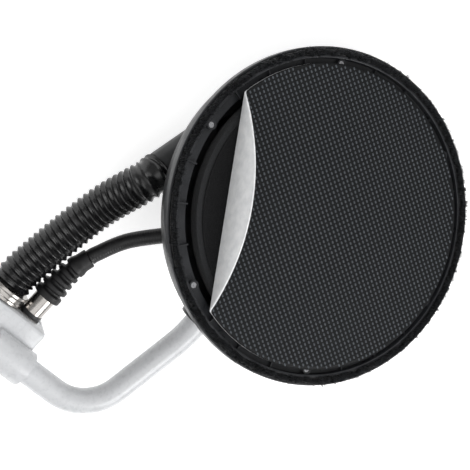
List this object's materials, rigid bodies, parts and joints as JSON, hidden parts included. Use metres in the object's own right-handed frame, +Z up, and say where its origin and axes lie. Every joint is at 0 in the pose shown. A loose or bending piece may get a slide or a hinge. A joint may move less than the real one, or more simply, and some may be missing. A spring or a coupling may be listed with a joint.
{
  "type": "long-reach drywall sander",
  "caption": "Long-reach drywall sander: pole with rear motor, flexible drive shaft, dust hose and tilting round head with brush skirt; its abrasive disc is folded back.",
  "frame": {"origin": "centre of the rest foot's underside, on the ground under the motor", "axes": "+X along the pole from motor to head, +Z up, +Y completing a right-handed frame, the side the dust line is on"},
  "size_m": [1.2436, 0.3223, 0.1415],
  "materials": {
    "tube_alloy": "satin",
    "white_paint": "white powder coat",
    "white_paint_steel": "white powder coat",
    "bright_metal": "polished",
    "black_plastic": "moulded, fine grain",
    "black_rubber": "matte",
    "black_metal": "black satin",
    "bearing_bronze": "satin",
    "black_foam": "closed-cell foam",
    "grey_plastic": "moulded, fine grain",
    "core_iron": "laminated core with windings",
    "bearing_steel": "ground",
    "carbon": "carbon",
    "hose_plastic": "corrugated, glossy",
    "switch_plastic": "gloss",
    "cast_alloy": "die cast",
    "black_bristle": "dense bristle",
    "hook_pile": "hook pile",
    "grit": "charcoal mesh abrasive",
    "velour": "light loop velour"
  },
  "bodies": {
    "wand": {"drive_tube": "tube_alloy", "dust_tube": "tube_alloy", "front_bracket": "white_paint", "rear_bracket": "white_paint", "hose_collar": "bright_metal", "shaft_ferrule": "bright_metal", "ferrule_clip": "black_plastic", "shaft_boot_rear": "black_rubber", "yoke_arm": "white_paint_steel", "roll_socket": "black_metal", "roll_bushing": "bearing_bronze", "foam_grip": "black_foam", "motor_housing_upper": "grey_plastic", "motor_housing_lower": "grey_plastic", "motor_end_cap": "black_plastic", "rest_foot": "black_rubber", "stator": "core_iron", "motor_bearing_front": "bearing_steel", "motor_bearing_rear": "bearing_steel", "carbon_brush_left": "carbon", "carbon_brush_right": "carbon", "dust_elbow": "black_plastic", "dust_hose_rear": "hose_plastic", "flex_sleeve_rear": "black_rubber"},
    "rotor": {"armature": "core_iron", "cooling_fan": "black_plastic", "drive_coupling": "bearing_steel", "flex_core": "bearing_steel"},
    "cuff": {"swivel_cuff": "black_plastic"},
    "switch": {"power_switch": "switch_plastic"},
    "dial": {"speed_dial": "black_plastic"},
    "gimbal": {"gimbal_bracket": "black_metal", "tilt_pin": "bearing_steel", "dust_hose_front": "hose_plastic", "flex_sleeve_front": "black_rubber"},
    "head": {"gearbox_housing": "cast_alloy", "gearbox_cover": "cast_alloy", "spindle_bearing_front": "bearing_steel", "spindle_bearing_rear": "bearing_steel", "pinion_bearing": "bearing_steel", "shroud": "black_plastic", "skirt_ring": "black_plastic", "bristle_ring": "black_bristle", "skirt_screw_1": "bearing_steel", "skirt_screw_2": "bearing_steel", "skirt_screw_3": "bearing_steel", "skirt_screw_4": "bearing_steel", "skirt_screw_5": "bearing_steel", "skirt_screw_6": "bearing_steel", "hose_port": "black_plastic", "shaft_boot_front": "black_rubber"},
    "pinion": {"bevel_pinion": "bearing_steel"},
    "pad": {"spindle": "bearing_steel", "bevel_gear": "bearing_steel", "pad_screw": "bearing_steel", "backing_plate": "black_plastic", "foam_pad": "black_foam", "hook_face": "hook_pile", "abrasive_disc": "grit"},
    "flap": {"abrasive_flap": "velour"}
  },
  "joints": [
    {"name": "head_roll", "type": "hinge", "parent": "wand", "child": "gimbal", "pos_m": [1.005, -0.1125, 0.05384], "axis": [1, 0, 0], "range_deg": [-30, 30], "deforming": ["dust_hose_rear", "flex_sleeve_rear"]},
    {"name": "head_tilt", "type": "hinge", "parent": "gimbal", "child": "head", "pos_m": [1.005, -0.1125, 0.05384], "axis": [0, 1, 0], "range_deg": [-12, 42], "deforming": ["dust_hose_front", "flex_sleeve_front"]},
    {"name": "pad_spin", "type": "hinge", "parent": "head", "child": "pad", "pos_m": [1.005, -0.1125, 0.05384], "axis": [0.2756, 0, 0.9613], "continuous": true},
    {"name": "pinion_spin", "type": "hinge", "parent": "head", "child": "pinion", "pos_m": [1.00059, -0.1125, 0.03846], "axis": [-0.7144, 0.6691, 0.2048], "continuous": true},
    {"name": "motor_spin", "type": "hinge", "parent": "wand", "child": "rotor", "pos_m": [0, -0.0135, 0.038], "axis": [1, 0, 0], "continuous": true},
    {"name": "flap_fold", "type": "hinge", "parent": "pad", "child": "flap", "pos_m": [0.97863, -0.04244, 0.10864], "axis": [0.8325, 0.5, -0.2387], "range_deg": [-98, 30]},
    {"name": "power_switch", "type": "hinge", "parent": "wand", "child": "switch", "pos_m": [0, -0.0135, 0.072], "axis": [0, 1, 0], "range_deg": [-7, 7]},
    {"name": "speed_dial", "type": "hinge", "parent": "wand", "child": "dial", "pos_m": [-0.0983, -0.0135, 0.059], "axis": [-1, 0, 0], "range_deg": [0, 270]},
    {"name": "cuff_swivel", "type": "hinge", "parent": "wand", "child": "cuff", "pos_m": [0.0865, 0.0592, 0.038], "axis": [0, 1, 0], "continuous": true}
  ],
  "couplings": [
    {"joint": "pinion_spin", "follows": "pad_spin", "ratio": -3},
    {"joint": "motor_spin", "follows": "pad_spin", "ratio": 3}
  ]
}
